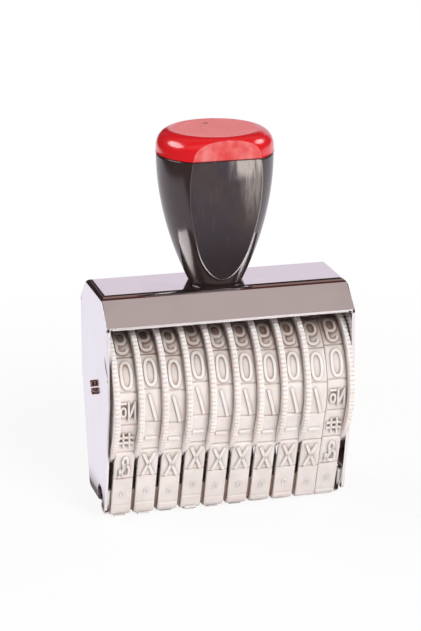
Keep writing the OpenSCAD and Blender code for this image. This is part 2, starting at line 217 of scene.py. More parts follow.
class Finish:
    # Builds a node tree: a new material's, or that of the world.
    def __init__(self, name=None, world=None):
        self.holder = world or bpy.data.materials.new(name)
        self.holder.use_nodes = True
        self.tree = self.holder.node_tree
        self.tree.nodes.clear()

    # Adds a shader node, sets it up, fills its sockets by name or number, and returns an output.
    def node(self, kind, settings=None, sockets=None, out=0):
        made = self.tree.nodes.new("ShaderNode" + kind)
        for key, value in (settings or {}).items():
            setattr(made, key, value)
        for key, value in (sockets or {}).items():
            socket = made.inputs[key]
            if isinstance(value, Wire):
                self.tree.links.new(value.socket, socket)
            elif socket.type == "RGBA" and len(value) == 3:
                socket.default_value = (*value, 1)
            else:
                socket.default_value = value
        return Wire(self, made.outputs[out])

    def place(self):
        return self.node("TexCoord", out="Object")

    def parts(self, vector):
        first = self.node("SeparateXYZ", None, {"Vector": vector})
        return first, first.other(1), first.other(2)

    def millimetres(self):
        return [part * 1000 for part in self.parts(self.place())]

    # Two outputs: 1 for rays from the camera, and 1 for reflections.
    def rays(self):
        camera = self.node("LightPath", out="Is Camera Ray")
        return camera, camera.other("Is Glossy Ray")

    # A scaled place: patterns are drawn out along an axis of small scale.
    def stretched(self, scale):
        return self.node("Mapping", None, {"Vector": self.place(), "Scale": scale})

    def attribute(self, name):
        return self.node("Attribute", {"attribute_name": name}, None, "Fac")

    def noise(self, scale, detail=3, roughness=0.55, vector=None):
        return self.node("TexNoise", None, {"Vector": vector or self.place(), "Scale": scale,
                                            "Detail": detail, "Roughness": roughness})

    def tint(self, share, first, second):
        return self.node("Mix", {"data_type": "RGBA"}, {0: share, 6: first, 7: second}, 2)

    # A colour with others of its look laid over it in turn, each by its own share.
    def layers(self, colour, look, **shares):
        for name, share in shares.items():
            colour = self.tint(share, colour, look[name])
        return colour

    def bump(self, height, strength, distance):
        return self.node("Bump", None, {"Height": height, "Strength": strength, "Distance": distance * mm})

    # Ends the tree in a Principled shader with the given sockets.
    def surface(self, **sockets):
        names = {key.replace("_", " "): value for key, value in sockets.items()}
        return self.end(self.node("BsdfPrincipled", None, names, "BSDF"))

    def end(self, shader, kind="OutputMaterial"):
        end = self.tree.nodes.new("ShaderNode" + kind)
        self.tree.links.new(shader.socket, end.inputs["Surface"])
        return self.holder


platedLook = {
    "colour": (0.86, 0.84, 0.86), "smeared": (0.78, 0.76, 0.78), "rolled": (0.7, 0.67, 0.68),
    # The bare colour paints a highlight on the brows' lower edges, the cut colour one on the cut edges, and
    # the darkest colour is painted shade.
    "bare": (0.97, 0.95, 0.96), "cut": (0.86, 0.82, 0.85), "grime": (0.075, 0.045, 0.05),
    "roughness": 0.045, "smear": 0.07,
    "plate": (45.8, 47),  # inner and outer face of the side plates
    "slit": (24.4, 49.5, 34.7, 9.5),  # the slits' arc: radius, height, middle angle and half its length
    "leaf": 1.3,  # how far the painted shade beside a slit swells inwards
    "dotOut": (-0.7, 0.5), "dotAngle": (21.3, 23.9),  # painted shade of the dot below a slit, from the arc
    "tabUpTo": 9.2, "tabFrom": -1.4,  # the bent tabs have painted shade below this z and behind this y
    "cutUpTo": 77.5, "cutFrom": 10,  # the plates' cut edges are bare and painted pale as a highlight below this z, past this y
    "shade": (26, 68), "shadeWithin": 46.425,  # heights and outer limit of the left edge's shaded part
    "brow": (77.6, 78.8), "browFrom": 22.05, "browEnd": 46.1,  # z, least y and end x of the painted highlight on the brows' edges
}


# Bright plating over rolled sheet: nearly a mirror, with faint smears and the sheet's slight waves.
# The cut edges are bare metal, painted pale as a highlight, as are the brows' lower edges. Painted shade
# darkens the sheet round the curved slits, on the bent tabs and on the inner half of the left cut edge.
def platedSheet():
    f, look = Finish("platedSheet"), platedLook
    smears = f.noise(38, 5, 0.6, f.stretched((1, 1, 0.45))).step(0.42, 0.78)
    grain = f.noise(900, 2, 0.5, f.stretched((1, 0.15, 0.15)))
    rolled = f.noise(240, 3, 0.6, f.stretched((0.1, 1, 1)))
    waves = f.noise(26, 1)
    x, y, z = f.millimetres()
    off, deep = x.absolute(), y.absolute()
    inner, outer = look["plate"]
    radius, height, middle, half = look["slit"]
    up = z - height
    out = (y * y + up * up) ** 0.5 - radius
    angle = up.maths("ARCTAN2", deep) * (180 / pi)
    bulge = (1 - ((angle - middle) / half) ** 2).atLeast(0)
    # Painted shade: a dark leaf beside each slit and a dark dot below it.
    leaf = (out + bulge * look["leaf"]).above(0, 0.2) * out.below(0.5, 0.2) * bulge.step(0.02, 0.1)
    dot = out.between(*look["dotOut"], 0.3) * angle.between(*look["dotAngle"], 0.5)
    faces = off.step(outer - 0.2, outer - 0.05) + \
        off.step(inner - 0.2, inner - 0.05) * (1 - off.step(inner + 0.05, inner + 0.15))
    # Painted shade on the bent tabs.
    tab = z.below(look["tabUpTo"], 0.5) * y.above(look["tabFrom"], 0.2)
    # The cut edges: bare metal, painted pale as a highlight.
    cut = off.between(inner + 0.05, outer - 0.05, 0.03) * \
        z.below(look["cutUpTo"], 0.3) * deep.above(look["cutFrom"], 1)
    shade = cut * off.below(look["shadeWithin"], 0.075) * x.below(0, 1) * z.between(*look["shade"], 4)
    # All painted shade together: slit leaves and dots on the faces, the tabs and the left cut edge.
    grime = ((leaf + dot) * y.below(0, 1) * faces + tab * 0.9 + shade).atMost(1)
    # Painted highlight along the brows' lower edges.
    brow = z.between(*look["brow"], 0.08) * deep.above(look["browFrom"], 0.1) * \
        off.below(look["browEnd"], 0.2)
    cut = cut * (1 - shade)
    colour = f.layers(look["colour"], look, smeared=smears * 0.5, rolled=rolled.step(0.45, 0.75) * 0.1,
                      grime=grime, bare=brow, cut=cut)
    bare = (brow + cut).atMost(1)
    rough = smears * look["smear"] + look["roughness"] + grain * 0.02 + rolled * 0.03
    return f.surface(Base_Color=colour, Metallic=(1 - bare * 0.85 - grime).atLeast(0),
                     Roughness=rough + bare * 0.3 + grime * 0.5,
                     Normal=f.bump(waves + grain * 0.012, 0.16, 0.28))


steelLook = {"colour": (0.62, 0.61, 0.6), "patch": (0.74, 0.73, 0.74), "burnt": (0.115, 0.038, 0.03),
             "paintedGlint": (0.6, 0.42, 0.4), "burntFrom": 46.95}  # the axle is burnt further out than this


# Zinc plated steel of the fasteners and the axle; the axle's staked ends are burnt red-brown, with painted
# glints in the burn.
def zincSteel(name="zincSteel", burntEnds=False):
    f, look = Finish(name), steelLook
    patches = f.noise(260, 4)
    colour = f.tint(patches, look["colour"], look["patch"])
    turned = f.noise(700, 2, 0.5, f.stretched((0.2, 1, 1)))
    rough, metal = patches * 0.12 + 0.22, 1
    if burntEnds:
        x = f.millimetres()[0]
        burnt = x.absolute().above(look["burntFrom"], 0.1)
        # Painted glints speckle the burnt ends.
        scorched = f.tint(f.noise(1500, 2).step(0.45, 0.6), look["burnt"], look["paintedGlint"])
        colour = f.tint(burnt, colour, scorched)
        rough, metal = rough + burnt * 0.25, 1 - burnt * 0.6
    return f.surface(Base_Color=colour, Metallic=metal, Roughness=rough, Normal=f.bump(turned, 0.15, 0.05))


# The colours after deep are painted shade.
ivoryLook = {"light": (0.91, 0.865, 0.85), "deep": (0.86, 0.81, 0.79), "dust": (0.38, 0.275, 0.21),
             "grime": (0.19, 0.105, 0.08), "paintedPocketShade": (0.035, 0.018, 0.016),
             "paintedShadeWithin": 43.9,  # the bridge has painted shade between its end fins
             "pocketY": (-10.2, -2.6), "pocketZ": (2.6, 13), "pocketFrom": 44.6}  # painted shade in the pockets further out


# Moulded ivory plastic of the thumb wheels, with painted shade where the mark says. The bridge has brown
# painted shade between the bands, and dark painted shade in the pockets at its ends.
def ivoryPlastic(name="ivoryPlastic", roughness=0.38, bridge=False):
    f, look = Finish(name), ivoryLook
    cloud = f.noise(70, 4)
    fine = f.noise(1400, 2)
    colour = f.tint(cloud.step(0.3, 0.75), look["light"], look["deep"])
    if bridge:
        x, y, z = f.millimetres()
        off = x.absolute()
        pocket = y.between(*look["pocketY"], 0.4) * z.between(*look["pocketZ"], 0.4) * \
            off.above(look["pocketFrom"], 0.2)
        # Painted shade between the end fins, and darker painted shade in the pockets.
        paintedShadeShare = (off.below(look["paintedShadeWithin"], 0.3) * (0.75 + 0.3 * cloud) + pocket).atMost(1)
        dust = f.tint(pocket, look["grime"], look["paintedPocketShade"])
    else:
        # On the wheels the mark is painted shade: in the teeth's grooves, on the rims' flanks and under the
        # brow.
        paintedShadeShare, dust = f.attribute("mark") * (0.6 + 0.5 * cloud), look["dust"]
    return f.surface(Base_Color=f.tint(paintedShadeShare, colour, dust),
                     Roughness=roughness + 0.12 * cloud, Subsurface_Weight=0.35, Subsurface_Scale=0.0025,
                     Subsurface_Radius=(1, 0.6, 0.4), Normal=f.bump(fine + cloud * 0.4, 0.1, 0.05))


# The dust colour serves for real specks of dust and for painted shade; the darkest colour is deeper painted
# shade.
rubberLook = {"light": (0.86, 0.815, 0.795), "deep": (0.79, 0.735, 0.71), "worn": (0.92, 0.87, 0.845),
              "dust": (0.32, 0.235, 0.18), "grime": (0.13, 0.066, 0.042)}


# Ivory rubber of the bands: matt, softly mottled with specks of dust, browner where the mark paints shade,
# and paler on the figures' tops, where the mark is below 0.
def bandRubber():
    f, look = Finish("bandRubber"), rubberLook
    cloud = f.noise(120, 4)
    speck = f.noise(2300, 2)
    mark = f.attribute("mark")
    colour = f.layers(look["light"], look, deep=cloud.step(0.32, 0.72), dust=speck.step(0.66, 0.8) * 0.12,
                      worn=(mark * -8).step(0, 1) * 0.7)
    # The mark paints shade: in the grooves, round the figures' feet, near the rims and under the brow.
    paintedShadeShare = mark * (0.6 + 0.7 * cloud)
    dust = f.tint(mark.step(0.35, 0.95), look["dust"], look["grime"])
    return f.surface(Base_Color=f.tint(paintedShadeShare, colour, dust),
                     Roughness=0.52 + 0.16 * cloud, Subsurface_Weight=0.25, Subsurface_Scale=0.0015,
                     Subsurface_Radius=(1, 0.55, 0.4), Normal=f.bump(speck + cloud * 0.6, 0.22, 0.06))


blackLook = {
    "colour": (0.038, 0.025, 0.025), "facet": (0.058, 0.045, 0.053), "dust": (0.36, 0.325, 0.31),
    # The pale colour paints a sheen on the facets, the edge colour a highlight along their edges, and the
    # foot colour shade near the foot.
    "pale": (0.46, 0.415, 0.39), "edge": (0.74, 0.72, 0.72), "foot": (0.022, 0.015, 0.015),
    "blotch": (0.07, 0.06, 0.068), "cool": (0.05, 0.048, 0.066), "warm": (0.085, 0.064, 0.058),
    "brown": (0.105, 0.08, 0.066),
    "paintedSheenStripAt": (9, 4.2, 109, 129),  # painted sheen strip: middle and half width at its top, and its heights
    "paintedSheenPatchX": (1.5, 13), "paintedSheenPatchZ": (128, 135),  # the painted sheen patch above it
}


# Near-black moulded plastic: glossy and brownish round the sides, satin and drawn downwards on the
# facets, which have a painted pale sheen at the upper right and painted shade at the foot. The mark
# is above 0 on a facet, and in between along its edges, which have a painted highlight.
def handleBlack():
    f, look = Finish("handleBlack"), blackLook
    mark = f.attribute("mark")
    facet, edges = mark.step(0.15, 0.6), mark.between(0.1, 0.6, 0.08)
    cloud = f.noise(60, 4)
    blotch = f.noise(110, 5, 0.6)
    hue = f.noise(95, 3)
    drawn = f.noise(900, 4, 0.6, f.stretched((1, 1, 0.035)))
    x, _, z = f.millimetres()
    middle, half, lowest, highest = look["paintedSheenStripAt"]
    # A painted sheen: a strip down the facet and a patch above it.
    beside = (x - middle - (highest - z) * 0.06) / (half - (highest - z) * 0.09)
    paintedSheenStrip = beside.between(-0.9, 0.9, 0.5) * z.step(lowest, highest) * drawn.step(0.22, 0.62)
    paintedSheenPatch = x.between(*look["paintedSheenPatchX"], 2.5) * z.step(*look["paintedSheenPatchZ"]) * (0.2 + 0.8 * drawn.step(0.35, 0.62))
    # The painted highlight on the facets' edges: strongest near the foot and towards the right.
    worn = 0.1 + 0.85 * (1 - z.step(95, 108)) + 0.18 * x.step(0, 9)
    colour = f.layers(
        look["colour"], look, facet=facet,
        blotch=facet * blotch.step(0.42, 0.7) * 0.5,
        cool=facet * hue.step(0.46, 0.66) * 0.45,
        warm=facet * (1 - hue.step(0.34, 0.5)) * 0.4,
        brown=facet * x.step(2, 14) * z.step(104, 118) * 0.5,
        dust=facet * drawn.step(0.55, 0.8) * 0.12,
        pale=(facet * (paintedSheenStrip * 0.5 + paintedSheenPatch * 0.9)).atMost(1),
        edge=edges * worn,
        # Painted shade on the facets near the foot.
        foot=facet * (1 - z.step(92, 118)) * 0.7 * (1 - edges))
    satin = 0.22 + 0.16 * blotch + 0.12 * drawn
    rough = facet * satin + (1 - facet) * (0.115 + 0.05 * cloud)
    return f.surface(Base_Color=colour, Roughness=rough, Specular_IOR_Level=0.6,
                     Normal=f.bump(drawn * facet * 0.8 + cloud * 0.25, 0.14, 0.06))


redLook = {
    "gloss": (0.68, 0.012, 0.018), "satin": (0.72, 0.06, 0.06), "pale": (0.86, 0.33, 0.32),
    # The top colour is chalky, and its paleness is partly a painted reflection.
    "top": (0.8, 0.168, 0.165), "mould": (0.36, 0.035, 0.035), "hole": (0.12, 0.01, 0.01),
    "shadow": (0.1, 0.006, 0.006),
    "gate": (-1.8, 8.3),  # x and y of the mould's gate on the top
    "axis": -0.5,  # x of the handle's middle
    "seam": 136.8,  # height of the dark seam at the cap's foot
}


# Red moulded plastic: glossy round the shoulder, satin on the facets, chalky on the flat top, whose
# paleness is partly a painted reflection, with faint turned rings and the mould's gate as a dark dot. The
# mark is 1 on the top, less on a facet.
def capRed():
    f, look = Finish("capRed"), redLook
    mark = f.attribute("mark")
    satin, top = mark.step(0.15, 0.55), mark.step(0.8, 0.95)
    cloud = f.noise(150, 5, 0.65)
    blotch = f.noise(62, 3)
    streaks = f.noise(420, 4, 0.6, f.stretched((1, 1, 0.22)))
    scuffs = (cloud * 0.5 + blotch * 0.3 + streaks * 0.35).step(0.46, 0.72)
    facet = f.tint(scuffs * 0.62, look["satin"], look["pale"])
    x, y, z = f.millimetres()
    out = ((x - look["axis"]) ** 2 + y * y) ** 0.5 + blotch * 0.8
    rings = (out.between(5.6, 6, 0.35) + out.between(9.8, 10.1, 0.3) * 0.6) * cloud.step(0.35, 0.6)
    gateX, gateY = look["gate"]
    gate = 1 - (((x - gateX) * 0.75) ** 2 + (y - gateY) ** 2).step(0.3, 1.3)
    face = f.layers(look["top"], look, pale=cloud.step(0.35, 0.7) * 0.35, mould=rings * 0.5, hole=gate * 0.9)
    colour = f.tint(top, f.tint(satin, look["gloss"], facet), face)
    colour = f.layers(colour, look, pale=mark.between(0.12, 0.5, 0.1) * 0.35,
                      shadow=1 - (z - look["seam"]).step(0.15, 0.75))
    return f.surface(Base_Color=colour, Roughness=satin * (0.3 + 0.16 * cloud) + (1 - satin) * 0.17,
                     Coat_Weight=(1 - satin) * 0.4, Coat_Roughness=0.2, Specular_IOR_Level=0.5,
                     Normal=f.bump(satin * cloud + blotch * 0.2 + rings * top * 0.3, 0.12, 0.06))


sheetFinish = platedSheet()
steelFinish = zincSteel()
axleFinish = zincSteel("axleSteel", burntEnds=True)
wheelFinish = ivoryPlastic()
bridgeFinish = ivoryPlastic("bridgeIvory", 0.42, bridge=True)
bandFinish = bandRubber()
blackFinish = handleBlack()
redFinish = capRed()
print("stamp: finishes made")


bandCount = 10
axleHeight = frame["joints"][0]["pos_m"][2] / mm

bandLook = {
    "cells": 15, "thick": 1.6,  # thickness of the base
    "drum": 22.7, "edge": 1.9,  # inner radius over the wheel, and round the bridge's edges
    "flat": 12.6,  # length of the printing flat
    "figure": 0.9, "spot": 0.22, "plinth": 0.16,  # rise of figures, of a blank's spot and of the tiles below
    "groove": 0.34,  # depth of the line between two cells
    "figureWide": 3.8, "figureTall": 9.1,  # between the middles of a figure's outer lines
    "signWide": 5.3, "signTall": 8,  # the same for the small signs of the outer bands
    "stroke": 1.16,  # width of a figure's line
    "figureLow": 0.45,  # how far a figure sits below the middle of its cell
    "shift": (-0.4, 0.2, -1.1, 1.2, -0.6, -1, -2, -2, -2.9, -2.2),  # of each band along its loop
    "pressed": 0.29, "rims": (24.9, 29.2),  # how far a rim presses in the band beside it, and where
    "browShadeFrom": 58, "browShadeTo": 75,  # heights between which the painted shade under the brow sets in
}


# The band's loop: half the flat, an arc round the bridge's edge, a straight run that touches both
# arcs, the arc over the wheel, and the same back. Lengths are measured along the middle of the
# base, from the middle of the flat to the front and upwards.
class Loop:
    def __init__(self, look):
        self.half = half = look["thick"] / 2
        self.wheel, self.edge = look["drum"] + half, look["edge"] + half
        self.y = look["flat"] / 2  # the edge arc's middle
        self.z = look["figure"] + look["thick"] + look["edge"]
        rise = axleHeight - self.z
        apart = hypot(self.y, rise)
        self.lean = asin((self.wheel - self.edge) / apart) - atan2(self.y, rise)
        self.toRun = self.y + self.edge * (pi / 2 - self.lean)
        self.toWheel = self.toRun + sqrt(apart ** 2 - (self.wheel - self.edge) ** 2)
        self.length = 2 * self.toWheel + self.wheel * (pi + 2 * self.lean)
        self.cell = self.length / look["cells"]

    # Points at the distances s, raised outwards by rise from the middle of the base.
    def at(self, s, rise):
        s, rise = np.broadcast_arrays(np.mod(s, self.length), rise)
        back = s > self.length / 2
        s = np.where(back, self.length - s, s)
        turn = np.clip((s - self.y) / self.edge, 0, pi / 2 - self.lean)
        run = np.clip(s - self.toRun, 0, self.toWheel - self.toRun)
        swing = np.maximum(s - self.toWheel, 0) / self.wheel - self.lean
        low = np.minimum(s, self.y)
        near = self.edge + rise
        y = -low - near * np.sin(turn) - run * sin(self.lean)
        z = self.z - near * np.cos(turn) + run * cos(self.lean)
        far = self.wheel + rise
        onWheel = s > self.toWheel
        y = np.where(onWheel, -far * np.cos(swing), y)
        z = np.where(onWheel, axleHeight + far * np.sin(swing), z)
        return np.where(back, -y, y), z


# Figures are lines in a box one wide and one tall, given by x and y of their corners. An oval runs
# from one angle to another, in degrees: its cosine and sine are raised to a power below 1, which
# squares its shoulders.
def oval(x, y, wide, tall, start=0, end=360, power=0.82):
    a = np.radians(np.linspace(start, end, max(8, int(abs(end - start) / 9))))  # a point each 9 degrees
    c, s = (np.sign(v) * np.abs(v) ** power for v in (np.cos(a), np.sin(a)))
    return np.stack([x + wide * c, y + tall * s], -1)


def line(*places):
    return np.reshape(places, (-1, 2)).astype(float)


# The stem of a 6, or of a 9 when flipped: an arc over the top and a straight piece down.
def stem(flip):
    path = np.concatenate([oval(0.5, 0.78, 0.5, 0.22, 20, 180), line(0, 0.3)])
    return 1 - path if flip else path


figures = {
    "0": [oval(0.5, 0.5, 0.5, 0.5)],
    "1": [line(0.55, 0, 0.55, 1), line(0.55, 0.98, 0.22, 0.8), line(0.2, 0, 0.9, 0)],
    "2": [np.concatenate([oval(0.5, 0.76, 0.5, 0.24, 165, -30), line(0.02, 0.02)]), line(0, 0, 1, 0)],
    "3": [oval(0.5, 0.76, 0.46, 0.24, 160, -85), oval(0.5, 0.26, 0.5, 0.26, 85, -160)],
    "4": [line(0.72, 0, 0.72, 1), line(0.72, 1, 0, 0.28), line(0, 0.28, 1, 0.28)],
    "5": [line(0.92, 1, 0.12, 1), line(0.12, 1, 0.06, 0.54), oval(0.48, 0.31, 0.5, 0.31, 128, -155)],
    "6": [oval(0.5, 0.29, 0.5, 0.29), stem(False)],
    "7": [line(0, 1, 1, 1), line(1, 1, 0.36, 0)],
    "8": [oval(0.5, 0.76, 0.43, 0.24), oval(0.5, 0.27, 0.5, 0.27)],
    "9": [oval(0.5, 0.71, 0.5, 0.29), stem(True)],
    "/": [line(0.12, 0, 0.78, 1)],
    "-": [line(0.05, 0.46, 0.95, 0.46)],
    "X": [line(0, 0, 1, 1), line(0, 1, 1, 0)],
    "=": [line(0.05, 0.34, 0.95, 0.34), line(0.05, 0.62, 0.95, 0.62)],
    "numero": [line(0, 0.1, 0, 0.9), line(0, 0.9, 0.46, 0.1), line(0.46, 0.1, 0.46, 0.9),
               oval(0.84, 0.46, 0.17, 0.2), line(0.66, 0.86, 1.04, 0.86)],
    "hash": [line(0.26, 0.1, 0.34, 0.9), line(0.68, 0.1, 0.76, 0.9),
             line(0, 0.36, 1, 0.36), line(0.02, 0.66, 1.02, 0.66)],
    "and": [oval(0.45, 0.78, 0.24, 0.2), oval(0.4, 0.28, 0.38, 0.26, 60, 330),
            line(0.27, 0.66, 0.98, 0.02), oval(0.52, 0.3, 0.42, 0.28, -60, 10)],
    "spot": [oval(0.5, 0.42, 0.17, 0.14)],
}
smallSigns = ("numero", "hash")
thinFigures = {"numero": 0.62, "hash": 0.66, "and": 0.82, "spot": 0.34}  # share of the usual line's width
commonCells = ("=", "spot", "X", "-", "/", *"0987654321")
outerCells = ("=", "spot", "and", "hash", "numero", *"0987654321")


# Adds points to a path so that no step is longer than the given one.
def refined(path, longest):
    steps = np.maximum(1, np.ceil(np.linalg.norm(np.diff(path, axis=0), axis=1) / longest)).astype(int)
    parts = [np.linspace(a, b, n, endpoint=False) for a, b, n in zip(path[:-1], path[1:], steps)]
    return np.concatenate(parts + [path[-1:]])


strokeLook = {
    "across": (-0.66, -0.52, -0.45, -0.36, 0.36, 0.45, 0.52, 0.66),  # section, in shares of the width
    "height": (0, 0.45, 0.9, 1, 1, 0.9, 0.45, 0),  # and of the height
    "paintedShade": (0.5, 0.26, -0.05, -0.08, -0.08, -0.05, 0.26, 0.5),  # painted shade towards the foot, below 0 where the top is rubbed clean
    "step": 0.55,  # longest step along a line
    "overrun": 0.45,  # how far an open line's ends run on, in shares of the width
    "closes": 0.05,  # ends nearer than this belong to a closed line
}


# A raised line: a flat-topped section with leaning flanks, set across the path at each of its
# points by the path's own normal, and laid over the band at the distance start.
def strokeOver(shape, loop, path, centre, start, width, foot, top):
    look = strokeLook
    closed = np.linalg.norm(path[0] - path[-1]) < look["closes"]
    path = refined(path, look["step"])
    if closed:
        path = path[:-1]
        ahead = np.roll(path, -1, 0) - np.roll(path, 1, 0)
    else:
        ahead = np.gradient(path, axis=0)
    ahead /= np.linalg.norm(ahead, axis=1)[:, None] + 1e-9
    if not closed:
        path[0] -= ahead[0] * width * look["overrun"]
        path[-1] += ahead[-1] * width * look["overrun"]
    side = np.stack([-ahead[:, 1], ahead[:, 0]], -1)
    across = np.array(look["across"]) * width
    height = foot + (top - foot) * np.array(look["height"])
    where = path[:, None] + side[:, None] * across[:, None]
    y, z = loop.at(start + where[..., 1], height)
    points = np.stack([centre - where[..., 0], y, z], -1)
    # Painted shade at the foot of the line and under the brow.
    paintedShade = np.array(look["paintedShade"]) + browShade(z)
    shape.grid(points, wrapRows=closed, wrapCols=True, capStart=not closed, capEnd=not closed, mark=paintedShade)


# One figure's lines in millimetres from the middle of its cell, and their width.
def figureLines(name):
    kind = "sign" if name in smallSigns else "figure"
    size = bandLook[kind + "Wide"], bandLook[kind + "Tall"]
    return [(path - 0.5) * size for path in figures[name]], bandLook["stroke"] * thinFigures.get(name, 1)


# Painted shade under the brow, which grows with a power of the height z.
def browShade(z):
    share = (z - bandLook["browShadeFrom"]) / (bandLook["browShadeTo"] - bandLook["browShadeFrom"])
    return np.clip(share, 0, 1) ** 1.25 * 0.95


# Painted shade on one cell: a bell curve of the distance to the nearest stroke's foot makes a dark line, and
# bell curves added up along all strokes darken the places that they crowd.
def paintedShadeRound(x, y, paths, width):
    footSpread, crowdSpread = 0.34, 1.7
    nearest, crowd = np.full(x.shape, 9.0), np.zeros(x.shape)
    for path in paths:
        fine = refined(path, 0.4)
        middle = (fine[1:] + fine[:-1]) / 2
        long = np.linalg.norm(np.diff(fine, axis=0), axis=1)
        apart = np.hypot(x[..., None] - middle[:, 0], y[..., None] - middle[:, 1])
        nearest = np.minimum(nearest, apart.min(-1))
        crowd += (long * np.exp(-(apart / crowdSpread) ** 2)).sum(-1)
    foot = np.exp(-(np.maximum(nearest - width * 0.62, 0) / footSpread) ** 2)
    strength = 0.35 if width < 0.5 else 1.5 if width < 0.8 else 1  # spot, small sign, figure
    return np.clip(foot * 0.3 + crowd * 0.03 + crowd ** 2 * 0.018, 0, 0.7) * strength


# The band's base: a rounded flat section carried round the loop. Its outside dips in a line
# between the cells and rises to a low tile in each of them.
def bandBase(shape, loop, low, high, shift, cells, left, right):
    look, half, cell = bandLook, loop.half, loop.cell
    wide = (high - low) / 2
    # Rows: close together beside the lines, even in between.
    beside = np.array([0, 0.14, 0.3, 0.44, 0.62, 0.82])
    oneCell = np.concatenate([beside, np.linspace(1.15, cell - 1.15, 27), cell - beside[:0:-1]])
    rows = len(oneCell)
    number = np.repeat(np.arange(len(cells)), rows)
    local = np.tile(oneCell, len(cells))
    toLine = np.minimum(local, cell - local)
    dip = -look["groove"] * (1 - np.clip((toLine - 0.14) / 0.34, 0, 1)) ** 1.3
    # The line between the two lowest cells is hardly there.
    faint = ((number == 0) & (local > cell / 2)) | ((number == 1) & (local < cell / 2))
    dip *= np.where(faint, 0.25, 1)
    # A slash runs out over the end of its tile, and a spot's cell has no tile.
    slash, bare = (np.array([name == kind for name in cells])[number] for kind in ("/", "spot"))
    tile = np.clip((toLine - 0.62) / 0.22, 0, 1)
    tile = np.where(bare | (slash & (cell - local < 1.45)), 0, tile) * look["plinth"]
    # Columns: across the outside from left to right, then back along the inside.
    across = np.linspace(-wide + 0.75, wide - 0.75, 17)
    inwards = np.array([0, 0, 0.03, 0.13, 0.28, 0.42, 0.58])
    rising = np.array([0, half - 0.32, half - 0.14, half - 0.03, half, half, half])
    u = np.concatenate([-wide + inwards, across, (wide - inwards)[::-1], [wide - 0.2, 0, -wide + 0.2, -wide]])
    h = np.concatenate([rising, np.full(len(across), half), rising[::-1], [-half, -half, -half, -half + 0.2]])
    onTop = (h > half - 0.2) * 1.0
    onTile = np.zeros(len(u))
    onTile[len(inwards) - 1:len(inwards) + len(across) + 1] = 1.0
    rise = h + dip[:, None] * onTop + tile[:, None] * onTile
    y, z = loop.at((shift + number * cell + local)[:, None] * np.ones(len(u)), rise)
    # The rims beside it press its edges in where it passes them.
    reach = np.hypot(y, z - axleHeight)
    rimLow, rimHigh = look["rims"]
    near = np.clip((reach - rimLow) / 0.7, 0, 1) * np.clip((rimHigh - reach) / 0.7, 0, 1)
    x = (low + high) / 2 + np.where(u < 0, np.maximum(u, -wide + near * left),
                                    np.minimum(u, wide - near * right))
    # Painted shade in the line between cells, round the figures' feet and in their bowls.
    paintedShade = (np.clip(-dip / look["groove"], 0, 1) * 0.45)[:, None] * onTop
    for k, name in enumerate(cells):
        part = slice(k * rows, (k + 1) * rows)
        flatX, flatY = np.meshgrid(-u, local[part] - cell / 2 + look["figureLow"])
        paintedShade[part] = np.maximum(paintedShade[part], paintedShadeRound(flatX, flatY, *figureLines(name)) * onTop)
    # Painted shade lies along the rims: more at the right, where the next wheel's rim stands over the band.
    toRim = np.exp(-(np.maximum(wide - 0.3 - u, 0) / 1.6) ** 2) * 0.13 * (right > 0) + \
        np.exp(-(np.maximum(u + wide - 0.3, 0) / 0.5) ** 2) * 0.1
    paintedShade = np.clip(paintedShade + toRim * np.clip(near + 0.15, 0, 1) + browShade(z), 0, 0.9)
    shape.grid(np.stack([x, y, z], -1), wrapRows=True, wrapCols=True, mark=paintedShade)


loop = Loop(bandLook)
for i in range(1, bandCount + 1):
    low, high = (corner.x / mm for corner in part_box(f"band_{i}"))
    cells = outerCells if i in (1, bandCount) else commonCells
    shift = bandLook["shift"][i - 1]
    # Rims stand at each band's left and right, but not between the last two bands.
    left = bandLook["pressed"] if i < bandCount else 0
    right = bandLook["pressed"] if i != bandCount - 1 else 0
    shape = Shape()
    bandBase(shape, loop, low, high, shift, cells, left, right)
    for k, name in enumerate(cells):
        paths, width = figureLines(name)
        top = loop.half + bandLook["spot" if name == "spot" else "figure"]
        start = shift + (k + 0.5) * loop.cell - bandLook["figureLow"]
        for path in paths:
            strokeOver(shape, loop, path, (low + high) / 2, start, width, loop.half - 0.1, top)
    piece = shape.build(f"figureBand{i}", bandFinish, "root")
    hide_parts(f"band_{i}")
print("stamp: bands made")


wheelLook = {
    "teeth": 104, "perTooth": 8,  # and grid columns for each tooth
    "rim": 28.5, "rimIn": 25.4, "rimWide": 2, "tooth": 0.5,  # depth of the grooves between the teeth
    "web": 0.9,  # thickness of the disc between hub and rim
    "drum": 22.45, "wall": 1.8, "hub": 6, "bore": 3.05,
    "ribs": 6, "ribWide": 1.2, "ribLong": 0.5,  # ribs reach over this share of the room beside the web
    "rimRound": 0.45, "round": 0.25, "ribRound": 0.2, "around": 144,  # steps round hub and drum
}


# A closed profile with a curve at every corner: a parabola between the points at the radius
# from the corner on its two sides.
def rounded(corners, radius, steps=3):
    corners = np.array(corners, float)
    t = np.linspace(0, 1, steps)[:, None]
    parts = []
    for a, b, c in zip(np.roll(corners, 1, 0), corners, np.roll(corners, -1, 0)):
        longA, longC = np.linalg.norm(a - b), np.linalg.norm(c - b)
        r = min(radius, longA * 0.45, longC * 0.45)
        start, end = b + (a - b) / longA * r, b + (c - b) / longC * r
        parts.append((1 - t) ** 2 * start + 2 * t * (1 - t) * b + t ** 2 * end)
    return np.concatenate(parts)


# A profile in (x, radius) spun about the axle. The shift of the radius may change with the angle.
def spun(profile, angles, shift=0):
    r = np.zeros((len(angles), 1)) + profile[:, 1] + shift
    x = np.broadcast_to(profile[:, 0], r.shape)
    return np.stack([x, r * np.cos(angles)[:, None], axleHeight + r * np.sin(angles)[:, None]], -1)


